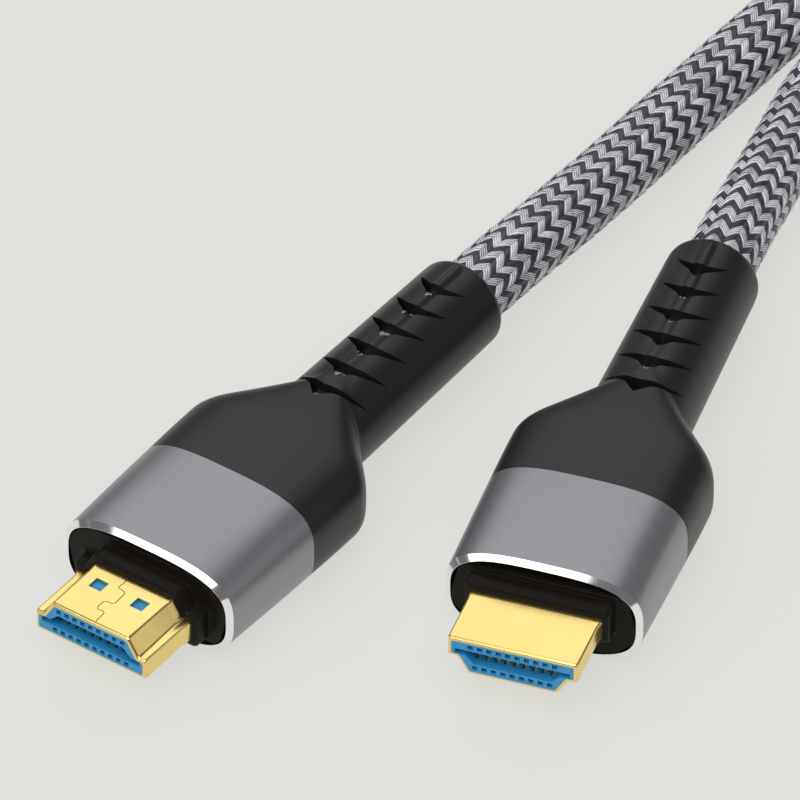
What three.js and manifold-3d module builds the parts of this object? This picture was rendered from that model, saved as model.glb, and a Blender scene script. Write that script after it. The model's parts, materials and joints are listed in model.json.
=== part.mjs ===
// A braided video cable, two metres long, with a type A plug on each end.
// Millimetres, +Z up, +Y from the plugs towards the coil. The floor is z = 0.
// The origin is on the floor under the middle of the box around the two plugs.
// Plug A lies with the narrow side of its shell up, plug B with the wide side up.

import * as THREE from 'three';
import { mergeVertices } from 'three/addons/utils/BufferGeometryUtils.js';
import Module from 'manifold-3d';

const wasm = await Module();
wasm.setup();

// Clearances
const SEAT_GAP = 0.25;
const INSERT_GAP = 0.1;
const CONTACT_GAP = 0.07;
const CUT_MARGIN = 1;

// Metal shell: a tube of folded sheet, wide on one side and narrow on the other
const SHELL_WIDTH = 13.9;
const SHELL_HEIGHT = 4.45;
const SHELL_SHEET = 0.3;
const SHELL_NARROW_WIDTH = 9.53;
const SHELL_SIDE_HEIGHT = 2.46;
const SHELL_LEDGE = 1.0;
const SHELL_CORNER = 0.45;
const SHELL_REACH = 9.63;
const SHELL_SEATED = 4.5;
const LATCH_SPACING = 5.2;
const LATCH_WIDTH = 1.55;
const LATCH_LENGTH = 1.5;
const LATCH_FROM_FRONT = 4.95;

// Plastic insert: it fills the shell and has a slot that takes a flat tongue
const SLOT_HALF_WIDTH = 6.15;
const SLOT_NARROW_HALF_WIDTH = 4.1;
const SLOT_RAMP = 1.0;
const SLOT_WIDE_FACE = 0.85;
const SLOT_NARROW_FACE = 0.75;
const SLOT_STEP_FACE = 0.2;
const SLOT_DEPTH = 8.0;

// Contacts: ten on the wide side, nine on the narrow side
const CONTACT_PITCH = 1.0;
const WIDE_ROW_COUNT = 10;
const NARROW_ROW_COUNT = 9;
const CONTACT_WIDTH = 0.42;
const CONTACT_THICKNESS = 0.2;
const CONTACT_ROW_WIDE = 1.32;
const CONTACT_ROW_NARROW = 1.25;
const CONTACT_REACH = 0.28;
const CONTACT_SET_BACK = 0.35;
const CONTACT_HOLE = CONTACT_WIDTH + 2 * CONTACT_GAP;
const FRONT_WALL = 1.0;

// Black moulding: its face closes the sleeve and its collar holds the shell
const COLLAR_WALL = 0.8;
const COLLAR_REACH = 2.1;

// Aluminium sleeve: a tube that is a little crowned and has a bright chamfer at its rim
const BODY_EXPONENT = 3.05;
const SLEEVE_BORE_HALF_WIDTH = 9.96;
const SLEEVE_BORE_HALF_HEIGHT = 4.9;
const SLEEVE_CHAMFER_LENGTH = 0.5;
const SLEEVE_FRONT_HALF_WIDTH = 10.58;
const SLEEVE_FRONT_HALF_HEIGHT = 5.52;
const SLEEVE_REAR_HALF_WIDTH = 10.86;
const SLEEVE_REAR_HALF_HEIGHT = 6.0;
const SLEEVE_LENGTH = 14.0;

// Rubber boot: a full body behind the sleeve, a shoulder, and a round ribbed neck
const BOOT_HALF_WIDTH = 10.95;
const BOOT_HALF_HEIGHT = 6.1;
const BOOT_SPIGOT_LENGTH = 2.6;
const BOOT_BODY_END = 23.3;
const BOOT_SHOULDER_ROUND = 1.3;
const BOOT_SHOULDER_DROP = 0.08;
const BOOT_NECK_START = 31.0;
const BOOT_LENGTH = 55.7;
const BOOT_BORE_START = 30.15;
const NECK_START_RADIUS = 5.45;
const NECK_END_RADIUS = 5.1;
const NECK_END_ROUND = 1.6;
const NECK_LIP = 0.35;
const NECK_PLAIN_END = 3.48;
const RIB_SLOT_COUNT = 6;
const RIB_SLOT_START = 28.7;
const RIB_SLOT_PITCH = (BOOT_LENGTH - NECK_PLAIN_END - RIB_SLOT_START) / RIB_SLOT_COUNT;
const RIB_SLOT_WIDTH = 1.9;
const RIB_SLOT_HALF_SPAN = 4.5;
const RIB_SLOT_NARROWING = 0.32;
const RIB_SLOT_SWEEP = 3.4;
const RIB_SLOT_FLOOR = 1.9;

// Cable, and how its unseen length is wound into a coil of two layers
const CABLE_DIAMETER = 7.6;
const CABLE_RADIUS = CABLE_DIAMETER / 2;
const COIL_CENTRE_Y = 186.64;
const COIL_OUTER_RADIUS = 56.0;
const COIL_LAYERS = 2;
const COIL_TURNS_IN_LAYER = 2.8625;
const TIE_THICKNESS = 1.0;
const TIE_WIDTH = 14;
const TIE_GAP = 0.3;
const TIE_CORNER = 3.0;
const TIE_ANGLES = { tie_left: 145, tie_right: 35 };

// Where the plugs lie: rims this far apart, and turned towards each other
const PLUG_SPREAD = 37.24;
const PLUG_STAGGER = 15.6;
const PLUG_YAW = THREE.MathUtils.degToRad(8.289);
const AXIS_HEIGHT = BOOT_HALF_HEIGHT;

// Smoothness of the round parts
const BODY_SIDES = 40;
const CORNER_STEPS = 2;
const BORE_SIDES = 20;
const CABLE_SIDES = 12;
const LEAD_STEPS = 16;
const COIL_SEGMENTS = 64;

// The cable's centre line from each plug to the coil, chosen by hand
const LEAD_A_ROUTE = [
  [-14.24, -0.33, 6.1], [-10.34, 26.39, 6.1], [-9.29, 33.64, 5.9], [-8.15, 42.54, 5.2], [-7.05, 51.44, 4.6],
  [-6.1, 60.34, 4.1], [-4.8, 70.64, 3.8], [-3.2, 80.94, 3.8], [-1.5, 90.74, 3.8], [-0.9, 99.54, 3.8],
  [-2.5, 107.94, 3.8], [-6.0, 115.84, 3.8], [-11.3, 122.64, 3.8], [-14.2, 125.34, 3.9],
  [-21.5, 131.44, 4.3], [-28.8, 137.64, 4.8], [-36.0, 143.74, 5.1],
];
const LEAD_B_ROUTE = [
  [14.24, 15.27, 6.1], [10.34, 41.99, 6.1], [9.3, 49.24, 5.8], [8.1, 57.44, 4.9], [7.0, 65.14, 4.1],
  [6.3, 69.84, 3.8], [5.9, 75.64, 3.8], [6.5, 82.54, 3.8], [8.3, 89.24, 3.8], [11.4, 95.94, 3.8],
  [16.0, 103.64, 3.8], [20.6, 111.44, 3.9], [25.1, 119.14, 4.7], [29.7, 126.94, 6.6],
  [34.3, 134.64, 9.0], [38.9, 142.44, 11.3], [43.5, 150.14, 12.4], [48.0, 157.84, 12.7],
];

// Colours
const gold = new THREE.MeshStandardMaterial({ color: 0xf2cf74, roughness: 0.22, metalness: 1 });
const bluePlastic = new THREE.MeshStandardMaterial({ color: 0x1f6ea3, roughness: 0.45, metalness: 0 });
const contactGold = new THREE.MeshStandardMaterial({ color: 0xe8cf8a, roughness: 0.3, metalness: 1 });
const blackPlastic = new THREE.MeshStandardMaterial({ color: 0x16120e, roughness: 0.25, metalness: 0 });
const greyMetal = new THREE.MeshStandardMaterial({ color: 0x85858c, roughness: 0.4, metalness: 1 });
const blackRubber = new THREE.MeshStandardMaterial({ color: 0x26272a, roughness: 0.6, metalness: 0 });
const braid = new THREE.MeshStandardMaterial({ color: 0x8e8e99, roughness: 0.85, metalness: 0 });
const hookTape = new THREE.MeshStandardMaterial({ color: 0x1c1c1e, roughness: 0.95, metalness: 0 });

// Closed meshes to solids and back
function toSolid(geometry) {
  const bare = geometry.clone();
  bare.deleteAttribute('normal');
  bare.deleteAttribute('uv');
  const merged = mergeVertices(bare, 1e-5);
  const vertProperties = new Float32Array(merged.attributes.position.array);
  const triVerts = new Uint32Array(merged.index.array);
  return new wasm.Manifold(new wasm.Mesh({ numProp: 3, vertProperties, triVerts }));
}

function toGeometry(solid) {
  const mesh = solid.getMesh();
  const geometry = new THREE.BufferGeometry();
  geometry.setAttribute('position', new THREE.BufferAttribute(new Float32Array(mesh.vertProperties), 3));
  geometry.setIndex(new THREE.BufferAttribute(new Uint32Array(mesh.triVerts), 1));
  geometry.computeVertexNormals();
  return geometry;
}

// Outlines are lists of Vector2, anticlockwise
function offsetOutline(points, distance) {
  return points.map((point, index) => {
    const before = points[(index + points.length - 1) % points.length];
    const after = points[(index + 1) % points.length];
    const arriving = point.clone().sub(before).normalize();
    const leaving = after.clone().sub(point).normalize();
    const arrivingNormal = new THREE.Vector2(arriving.y, -arriving.x);
    const leavingNormal = new THREE.Vector2(leaving.y, -leaving.x);
    const miter = arrivingNormal.clone().add(leavingNormal).normalize();
    return point.clone().addScaledVector(miter, distance / miter.dot(leavingNormal));
  });
}

function roundOutline(points, radius) {
  const rounded = [];
  points.forEach((point, index) => {
    const before = points[(index + points.length - 1) % points.length];
    const after = points[(index + 1) % points.length];
    const start = point.clone().add(before.clone().sub(point).setLength(radius));
    const end = point.clone().add(after.clone().sub(point).setLength(radius));
    rounded.push(...new THREE.QuadraticBezierCurve(start, point, end).getPoints(CORNER_STEPS));
  });
  return rounded;
}

// A body's cross-section: a rounded oblong that can change into a circle
function bodySection(halfWidth, halfHeight, exponent = BODY_EXPONENT) {
  const points = [];
  for (let side = 0; side < BODY_SIDES; side += 1) {
    const angle = (side / BODY_SIDES) * 2 * Math.PI;
    const across = Math.sign(Math.cos(angle)) * Math.abs(Math.cos(angle)) ** (2 / exponent);
    const up = Math.sign(Math.sin(angle)) * Math.abs(Math.sin(angle)) ** (2 / exponent);
    points.push(new THREE.Vector2(halfWidth * across, halfHeight * up));
  }
  return points;
}

// A closed skin over sections that stand across the plug's axis, front first
function loft(sections) {
  const sides = sections[0].points.length;
  const positions = [];
  const triangles = [];
  for (const { y, points } of sections) {
    for (const point of points) {
      positions.push(point.x, y, point.y);
    }
  }
  for (let ring = 0; ring + 1 < sections.length; ring += 1) {
    for (let side = 0; side < sides; side += 1) {
      const next = (side + 1) % sides;
      const near = ring * sides;
      const far = near + sides;
      triangles.push(near + side, far + side, far + next);
      triangles.push(near + side, far + next, near + next);
    }
  }
  const frontCentre = positions.length / 3;
  positions.push(0, sections[0].y, 0);
  positions.push(0, sections[sections.length - 1].y, 0);
  const lastRing = (sections.length - 1) * sides;
  for (let side = 0; side < sides; side += 1) {
    const next = (side + 1) % sides;
    triangles.push(frontCentre, side, next);
    triangles.push(frontCentre + 1, lastRing + next, lastRing + side);
  }
  const geometry = new THREE.BufferGeometry();
  geometry.setAttribute('position', new THREE.Float32BufferAttribute(positions, 3));
  geometry.setIndex(triangles);
  return geometry;
}

// A prism along the plug's axis from one y to another
function alongAxis(outline, fromY, toY) {
  const shape = new THREE.Shape(outline);
  const geometry = new THREE.ExtrudeGeometry(shape, { depth: toY - fromY, bevelEnabled: false });
  return geometry.rotateX(Math.PI / 2).translate(0, toY, 0);
}

// A prism across the plug from an outline in y and z, with its middle at x
function acrossPlug(outline, x, width) {
  const shape = new THREE.Shape(outline);
  const geometry = new THREE.ExtrudeGeometry(shape, { depth: width, bevelEnabled: false });
  const turn = new THREE.Matrix4().makeBasis(
    new THREE.Vector3(0, 1, 0),
    new THREE.Vector3(0, 0, 1),
    new THREE.Vector3(1, 0, 0),
  );
  return geometry.applyMatrix4(turn).translate(x - width / 2, 0, 0);
}

function block(fromX, toX, fromY, toY, fromZ, toZ) {
  const geometry = new THREE.BoxGeometry(toX - fromX, toY - fromY, toZ - fromZ);
  return geometry.translate((fromX + toX) / 2, (fromY + toY) / 2, (fromZ + toZ) / 2);
}

// Plug frame: x across, y along the axis with the rim at 0, narrow side of the shell up
const SHELL_FRONT = -SHELL_REACH;

function shellOutline(offset) {
  const half = SHELL_WIDTH / 2;
  const narrow = SHELL_NARROW_WIDTH / 2;
  const bottom = -SHELL_HEIGHT / 2;
  const ledge = bottom + SHELL_SIDE_HEIGHT;
  const corners = [
    new THREE.Vector2(-half, bottom),
    new THREE.Vector2(half, bottom),
    new THREE.Vector2(half, ledge),
    new THREE.Vector2(half - SHELL_LEDGE, ledge),
    new THREE.Vector2(narrow, -bottom),
    new THREE.Vector2(-narrow, -bottom),
    new THREE.Vector2(SHELL_LEDGE - half, ledge),
    new THREE.Vector2(-half, ledge),
  ];
  return roundOutline(offsetOutline(corners, offset), SHELL_CORNER + Math.min(offset, 0) / 2);
}

function makeShell() {
  const outside = toSolid(alongAxis(shellOutline(0), SHELL_FRONT, SHELL_SEATED));
  const hollow = toSolid(
    alongAxis(shellOutline(-SHELL_SHEET), SHELL_FRONT - CUT_MARGIN, SHELL_SEATED + CUT_MARGIN),
  );
  let shell = outside.subtract(hollow);
  const latchY = SHELL_FRONT + LATCH_FROM_FRONT;
  for (const side of [-1, 1]) {
    const latchX = (side * LATCH_SPACING) / 2;
    const hole = block(
      latchX - LATCH_WIDTH / 2, latchX + LATCH_WIDTH / 2,
      latchY - LATCH_LENGTH / 2, latchY + LATCH_LENGTH / 2,
      0, SHELL_HEIGHT,
    );
    shell = shell.subtract(toSolid(hole));
  }
  return toGeometry(shell);
}

// Both rows of contacts, as the centre across the plug and the side they serve
function contactPlaces() {
  const places = [];
  for (const [count, side] of [[WIDE_ROW_COUNT, -1], [NARROW_ROW_COUNT, 1]]) {
    for (let index = 0; index < count; index += 1) {
      places.push({ x: (index - (count - 1) / 2) * CONTACT_PITCH, side });
    }
  }
  return places;
}

function slotFace(side) {
  return side < 0 ? -SLOT_WIDE_FACE : SLOT_NARROW_FACE;
}

function contactRow(side) {
  return side < 0 ? -CONTACT_ROW_WIDE : CONTACT_ROW_NARROW;
}

function makeInsert() {
  const insertEnd = SHELL_SEATED - SHELL_SHEET;
  const slotEnd = SHELL_FRONT + SLOT_DEPTH;
  const slotOutline = [
    new THREE.Vector2(-SLOT_HALF_WIDTH, -SLOT_WIDE_FACE),
    new THREE.Vector2(SLOT_HALF_WIDTH, -SLOT_WIDE_FACE),
    new THREE.Vector2(SLOT_HALF_WIDTH, -SLOT_STEP_FACE),
    new THREE.Vector2(SLOT_NARROW_HALF_WIDTH + SLOT_RAMP, -SLOT_STEP_FACE),
    new THREE.Vector2(SLOT_NARROW_HALF_WIDTH, SLOT_NARROW_FACE),
    new THREE.Vector2(-SLOT_NARROW_HALF_WIDTH, SLOT_NARROW_FACE),
    new THREE.Vector2(-SLOT_NARROW_HALF_WIDTH - SLOT_RAMP, -SLOT_STEP_FACE),
    new THREE.Vector2(-SLOT_HALF_WIDTH, -SLOT_STEP_FACE),
  ];
  const body = toSolid(alongAxis(shellOutline(-SHELL_SHEET - INSERT_GAP), SHELL_FRONT, insertEnd));
  let insert = body.subtract(toSolid(alongAxis(slotOutline, SHELL_FRONT - CUT_MARGIN, slotEnd)));
  for (const { x, side } of contactPlaces()) {
    const row = contactRow(side);
    const halfHole = CONTACT_HOLE / 2;
    const hole = block(
      x - halfHole, x + halfHole,
      SHELL_FRONT - CUT_MARGIN, slotEnd,
      row - halfHole, row + halfHole,
    );
    const groove = block(
      x - halfHole, x + halfHole,
      SHELL_FRONT + FRONT_WALL, slotEnd,
      Math.min(row, 0), Math.max(row, 0),
    );
    insert = insert.subtract(toSolid(hole)).subtract(toSolid(groove));
  }
  return toGeometry(insert);
}

// A spring strip: it lies in its hole, bends into the slot and goes back to its groove
function makeContact({ x, side }) {
  const seat = contactRow(side);
  const touch = slotFace(side) - side * CONTACT_REACH;
  const front = SHELL_FRONT + CONTACT_SET_BACK;
  const rear = SHELL_FRONT + SLOT_DEPTH - CONTACT_GAP;
  const centreLine = [
    new THREE.Vector2(front, seat),
    new THREE.Vector2(front + FRONT_WALL, seat),
    new THREE.Vector2(front + 2.4 * FRONT_WALL, touch),
    new THREE.Vector2(front + 3.4 * FRONT_WALL, touch),
    new THREE.Vector2(rear, seat),
  ];
  const half = CONTACT_THICKNESS / 2;
  const below = centreLine.map((point) => point.clone().add(new THREE.Vector2(0, -half)));
  const above = centreLine.map((point) => point.clone().add(new THREE.Vector2(0, half)));
  return acrossPlug([...below, ...above.reverse()], x, CONTACT_WIDTH);
}

function makeMoulding() {
  const halfWidth = SLEEVE_BORE_HALF_WIDTH - SEAT_GAP;
  const halfHeight = SLEEVE_BORE_HALF_HEIGHT - SEAT_GAP;
  const body = loft([
    { y: 0, points: bodySection(halfWidth, halfHeight) },
    { y: SLEEVE_LENGTH - BOOT_SPIGOT_LENGTH - SEAT_GAP, points: bodySection(halfWidth, halfHeight) },
  ]);
  const collar = alongAxis(shellOutline(SEAT_GAP + COLLAR_WALL), -COLLAR_REACH, SHELL_SEATED);
  const pocket = alongAxis(shellOutline(SEAT_GAP), -COLLAR_REACH - CUT_MARGIN, SHELL_SEATED + SEAT_GAP);
  return toGeometry(toSolid(body).add(toSolid(collar)).subtract(toSolid(pocket)));
}

function makeSleeve() {
  const boreSection = bodySection(SLEEVE_BORE_HALF_WIDTH, SLEEVE_BORE_HALF_HEIGHT);
  const frontSection = bodySection(SLEEVE_FRONT_HALF_WIDTH, SLEEVE_FRONT_HALF_HEIGHT);
  const rearSection = bodySection(SLEEVE_REAR_HALF_WIDTH, SLEEVE_REAR_HALF_HEIGHT);
  const rimLip = 0.05;
  const rimSection = bodySection(SLEEVE_BORE_HALF_WIDTH + rimLip, SLEEVE_BORE_HALF_HEIGHT + rimLip);
  const outside = loft([
    { y: 0, points: rimSection },
    { y: SLEEVE_CHAMFER_LENGTH, points: frontSection },
    { y: SLEEVE_LENGTH, points: rearSection },
  ]);
  const bore = loft([
    { y: -CUT_MARGIN, points: boreSection },
    { y: SLEEVE_LENGTH + CUT_MARGIN, points: boreSection },
  ]);
  return toGeometry(toSolid(outside).subtract(toSolid(bore)));
}

function ribSlot(index, side) {
  const start = RIB_SLOT_START + index * RIB_SLOT_PITCH;
  const half = RIB_SLOT_HALF_SPAN - index * RIB_SLOT_NARROWING;
  const outline = new THREE.Shape([
    new THREE.Vector2(0, start),
    new THREE.Vector2(half * 0.5, start + RIB_SLOT_SWEEP * 0.3),
    new THREE.Vector2(half, start + RIB_SLOT_SWEEP),
    new THREE.Vector2(half * 0.45, start + RIB_SLOT_WIDTH + RIB_SLOT_SWEEP * 0.22),
    new THREE.Vector2(0, start + RIB_SLOT_WIDTH),
    new THREE.Vector2(-half * 0.45, start + RIB_SLOT_WIDTH + RIB_SLOT_SWEEP * 0.22),
    new THREE.Vector2(-half, start + RIB_SLOT_SWEEP),
    new THREE.Vector2(-half * 0.5, start + RIB_SLOT_SWEEP * 0.3),
  ]);
  const depth = BOOT_HALF_HEIGHT + CUT_MARGIN - RIB_SLOT_FLOOR;
  const geometry = new THREE.ExtrudeGeometry(outline, { depth, bevelEnabled: false });
  return geometry.translate(0, 0, side > 0 ? RIB_SLOT_FLOOR : -RIB_SLOT_FLOOR - depth);
}

function makeBoot() {
  const start = SLEEVE_LENGTH + SEAT_GAP;
  const roundEnd = BOOT_BODY_END + BOOT_SHOULDER_ROUND;
  const shoulderHalfWidth = BOOT_HALF_WIDTH - BOOT_SHOULDER_ROUND;
  const neckMiddle = (NECK_START_RADIUS + shoulderHalfWidth) / 2;
  const cornerHalfWidth = BOOT_HALF_WIDTH - BOOT_SHOULDER_ROUND * 0.3;
  const cornerHalfHeight = BOOT_HALF_HEIGHT - BOOT_SHOULDER_DROP / 3;
  const shoulderHalfHeight = BOOT_HALF_HEIGHT - BOOT_SHOULDER_DROP;
  const slopeHalfHeight = (NECK_START_RADIUS + BOOT_HALF_HEIGHT) / 2;
  const straightEnd = BOOT_LENGTH - NECK_END_ROUND;
  const boreRadius = CABLE_RADIUS + SEAT_GAP;
  const lipRadius = boreRadius + NECK_LIP;
  const endRadius = (NECK_END_RADIUS + lipRadius) / 2 + NECK_END_ROUND / 5;
  const body = loft([
    { y: start, points: bodySection(SLEEVE_REAR_HALF_WIDTH, SLEEVE_REAR_HALF_HEIGHT) },
    { y: BOOT_BODY_END, points: bodySection(BOOT_HALF_WIDTH, BOOT_HALF_HEIGHT) },
    { y: BOOT_BODY_END + BOOT_SHOULDER_ROUND * 0.7, points: bodySection(cornerHalfWidth, cornerHalfHeight) },
    { y: roundEnd, points: bodySection(shoulderHalfWidth, shoulderHalfHeight) },
    { y: (roundEnd + BOOT_NECK_START) / 2, points: bodySection(neckMiddle, slopeHalfHeight, 2.5) },
    { y: BOOT_NECK_START, points: bodySection(NECK_START_RADIUS, NECK_START_RADIUS, 2) },
    { y: straightEnd, points: bodySection(NECK_END_RADIUS, NECK_END_RADIUS, 2) },
    { y: BOOT_LENGTH - NECK_END_ROUND * 0.35, points: bodySection(endRadius, endRadius, 2) },
    { y: BOOT_LENGTH, points: bodySection(lipRadius, lipRadius, 2) },
  ]);
  const spigotHalfWidth = SLEEVE_BORE_HALF_WIDTH - SEAT_GAP;
  const spigotHalfHeight = SLEEVE_BORE_HALF_HEIGHT - SEAT_GAP;
  const spigot = loft([
    { y: SLEEVE_LENGTH - BOOT_SPIGOT_LENGTH, points: bodySection(spigotHalfWidth, spigotHalfHeight) },
    { y: start + CUT_MARGIN, points: bodySection(spigotHalfWidth, spigotHalfHeight) },
  ]);
  const boreLength = BOOT_LENGTH + CUT_MARGIN - BOOT_BORE_START;
  const bore = new THREE.CylinderGeometry(boreRadius, boreRadius, boreLength, BORE_SIDES);
  bore.translate(0, BOOT_BORE_START + boreLength / 2, 0);
  let boot = toSolid(body).add(toSolid(spigot)).subtract(toSolid(bore));
  for (let index = 0; index < RIB_SLOT_COUNT; index += 1) {
    for (const side of [-1, 1]) {
      boot = boot.subtract(toSolid(ribSlot(index, side)));
    }
  }
  return toGeometry(boot);
}

function named(name, geometry, material) {
  const mesh = new THREE.Mesh(geometry, material);
  mesh.name = name;
  return mesh;
}

function makePlug(letter) {
  const plug = new THREE.Group();
  plug.add(named(`shell_${letter}`, makeShell(), gold));
  plug.add(named(`insert_${letter}`, makeInsert(), bluePlastic));
  contactPlaces().forEach((place, index) => {
    const number = String(index + 1).padStart(2, '0');
    plug.add(named(`contact_${letter}_${number}`, makeContact(place), contactGold));
  });
  plug.add(named(`moulding_${letter}`, makeMoulding(), blackPlastic));
  plug.add(named(`sleeve_${letter}`, makeSleeve(), greyMetal));
  plug.add(named(`boot_${letter}`, makeBoot(), blackRubber));
  return plug;
}

// The coil: a turned ring of the outer shape of all its turns
const COIL_BOTTOM = TIE_THICKNESS + TIE_GAP;
const COIL_TOP = COIL_BOTTOM + COIL_LAYERS * CABLE_DIAMETER;
const COIL_OUTSIDE = COIL_OUTER_RADIUS + CABLE_RADIUS;
const COIL_INSIDE = COIL_OUTSIDE - (COIL_TURNS_IN_LAYER + 1) * CABLE_DIAMETER;

function makeCoil() {
  const edge = CABLE_RADIUS / 2;
  const profile = [
    new THREE.Vector2(COIL_INSIDE + edge, COIL_BOTTOM),
    new THREE.Vector2(COIL_OUTSIDE - edge, COIL_BOTTOM),
    new THREE.Vector2(COIL_OUTSIDE, COIL_BOTTOM + edge),
    new THREE.Vector2(COIL_OUTSIDE, COIL_TOP - edge),
    new THREE.Vector2(COIL_OUTSIDE - edge, COIL_TOP),
    new THREE.Vector2(COIL_INSIDE + edge, COIL_TOP),
    new THREE.Vector2(COIL_INSIDE, COIL_TOP - edge),
    new THREE.Vector2(COIL_INSIDE, COIL_BOTTOM + edge),
    new THREE.Vector2(COIL_INSIDE + edge, COIL_BOTTOM),
  ];
  return new THREE.LatheGeometry(profile, COIL_SEGMENTS).rotateX(Math.PI / 2);
}

// The stretch from a plug to the coil, cut where it meets the ring
function makeLead(route) {
  const path = new THREE.CatmullRomCurve3(route.map((point) => new THREE.Vector3(...point)));
  const section = new THREE.Shape();
  section.absarc(0, 0, CABLE_RADIUS, 0, 2 * Math.PI);
  const tube = new THREE.ExtrudeGeometry(section, {
    steps: LEAD_STEPS,
    curveSegments: CABLE_SIDES,
    extrudePath: path,
    bevelEnabled: false,
  });
  const room = COIL_OUTSIDE + TIE_GAP;
  const cutter = new THREE.CylinderGeometry(room, room, 4 * COIL_TOP, COIL_SEGMENTS).rotateX(Math.PI / 2);
  return toGeometry(toSolid(tube).subtract(toSolid(cutter.translate(0, COIL_CENTRE_Y, 0))));
}

// A tie of hook tape around all the turns at one place on the ring
function makeTie() {
  const room = TIE_GAP + COIL_INSIDE - Math.sqrt(COIL_INSIDE ** 2 - (TIE_WIDTH / 2) ** 2);
  const across = COIL_OUTSIDE + TIE_GAP - (COIL_INSIDE - room);
  const up = COIL_TOP + TIE_GAP - TIE_THICKNESS;
  const opening = [
    new THREE.Vector2(-across / 2, -up / 2),
    new THREE.Vector2(across / 2, -up / 2),
    new THREE.Vector2(across / 2, up / 2),
    new THREE.Vector2(-across / 2, up / 2),
  ];
  const half = TIE_WIDTH / 2;
  const outline = roundOutline(offsetOutline(opening, TIE_THICKNESS), TIE_CORNER);
  const inner = roundOutline(opening, CABLE_RADIUS / 2);
  const tie = toSolid(alongAxis(outline, -half, half))
    .subtract(toSolid(alongAxis(inner, -half - CUT_MARGIN, half + CUT_MARGIN)));
  return toGeometry(tie).translate(COIL_OUTSIDE + TIE_GAP - across / 2, 0, TIE_THICKNESS + up / 2);
}

// Put the object together
const cable = new THREE.Group();

const plugs = new THREE.Group();
for (const [letter, side] of [['a', -1], ['b', 1]]) {
  const plug = makePlug(letter);
  plug.position.set((side * PLUG_SPREAD) / 2, (side * PLUG_STAGGER) / 2, AXIS_HEIGHT);
  plug.rotation.set(0, side > 0 ? Math.PI : 0, side * PLUG_YAW, 'ZYX');
  plugs.add(plug);
}
plugs.updateMatrixWorld(true);
const plugMiddle = new THREE.Box3().setFromObject(plugs, true).getCenter(new THREE.Vector3());
plugs.position.set(-plugMiddle.x, -plugMiddle.y, 0);
cable.add(plugs);

cable.add(named('lead_a', makeLead(LEAD_A_ROUTE), braid));
cable.add(named('lead_b', makeLead(LEAD_B_ROUTE), braid));

const wound = new THREE.Group();
wound.position.y = COIL_CENTRE_Y;
wound.add(named('coil', makeCoil(), braid));
for (const [name, angle] of Object.entries(TIE_ANGLES)) {
  const tie = named(name, makeTie(), hookTape);
  tie.rotation.z = THREE.MathUtils.degToRad(angle);
  wound.add(tie);
}
cable.add(wound);

export default cable;
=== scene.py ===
import json
import math

import bmesh
import bpy
import numpy as np
from mathutils import Matrix, Vector


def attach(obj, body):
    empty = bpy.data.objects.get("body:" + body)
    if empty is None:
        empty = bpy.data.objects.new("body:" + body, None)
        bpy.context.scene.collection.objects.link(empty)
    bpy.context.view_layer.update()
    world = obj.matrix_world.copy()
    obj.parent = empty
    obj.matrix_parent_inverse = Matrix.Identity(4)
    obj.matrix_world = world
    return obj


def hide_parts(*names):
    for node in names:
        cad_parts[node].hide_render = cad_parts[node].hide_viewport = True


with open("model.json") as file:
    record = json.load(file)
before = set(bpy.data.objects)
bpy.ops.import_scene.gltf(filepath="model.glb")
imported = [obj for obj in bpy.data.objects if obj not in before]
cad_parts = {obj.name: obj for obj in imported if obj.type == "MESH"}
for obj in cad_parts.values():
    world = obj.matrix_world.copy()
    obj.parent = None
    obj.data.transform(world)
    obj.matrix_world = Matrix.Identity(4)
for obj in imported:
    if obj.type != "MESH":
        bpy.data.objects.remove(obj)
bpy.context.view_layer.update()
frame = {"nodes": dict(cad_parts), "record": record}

MM = 0.001

# The camera: the photograph's viewing angle, seen through a long lens
CAMERA_AZIMUTH = 27.466
CAMERA_ELEVATION = 40.71
CAMERA_DISTANCE = 1500.0
CAMERA_LENS = 650.0
CAMERA_TARGET = (-12.394, 13.408, 0.1)

# The plug, in millimetres: x across, y along its axis with the sleeve's rim at 0
SHELL_WIDTH = 13.9
SHELL_HEIGHT = 4.45
SHELL_SHEET = 0.3
SHELL_NARROW_WIDTH = 9.53
SHELL_SIDE_HEIGHT = 2.46
SHELL_LEDGE = 1.0
SHELL_FRONT = -9.63
SHELL_SEATED = 4.5
SHELL_CORNER = 0.32
SHELL_INNER_CORNER = 0.2
SHELL_LIP = 0.42
SHELL_FLARE = 0.03
SHELL_CURL = ((0.0, -0.27), (0.06, -0.13), (0.18, -0.04), (0.36, 0.0))
SHELL_CURL_DEPTH = 0.5
SEAM_HALF_WIDTH = 0.05
SEAM_DEPTH = 0.12
SEAM_CUT_ABOVE = 0.5
LATCH_SPACING = 5.2
LATCH_WIDTH = 1.55
LATCH_LENGTH = 1.5
LATCH_FROM_FRONT = 4.95
LATCH_CUT_LOW = 1.0
LATCH_CUT_HIGH = 4.0
SEAM_REACH = 1.2
MOUNT_ACROSS = 5.6
MOUNT_UP = -1.3
COLLAR_WALL = 0.8
COLLAR_REACH = 2.1
COLLAR_CORNER = 0.5
COLLAR_FOOT = 0.25

# Rings of the shell's flare: y, widening
SHELL_FLARE_STOPS = (
    (-COLLAR_REACH - 1.3, 0.0),
    (-COLLAR_REACH - 0.3, 0.022),
    (-COLLAR_REACH + 0.2, SHELL_FLARE),
    (SHELL_SEATED, SHELL_FLARE),
)

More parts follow.
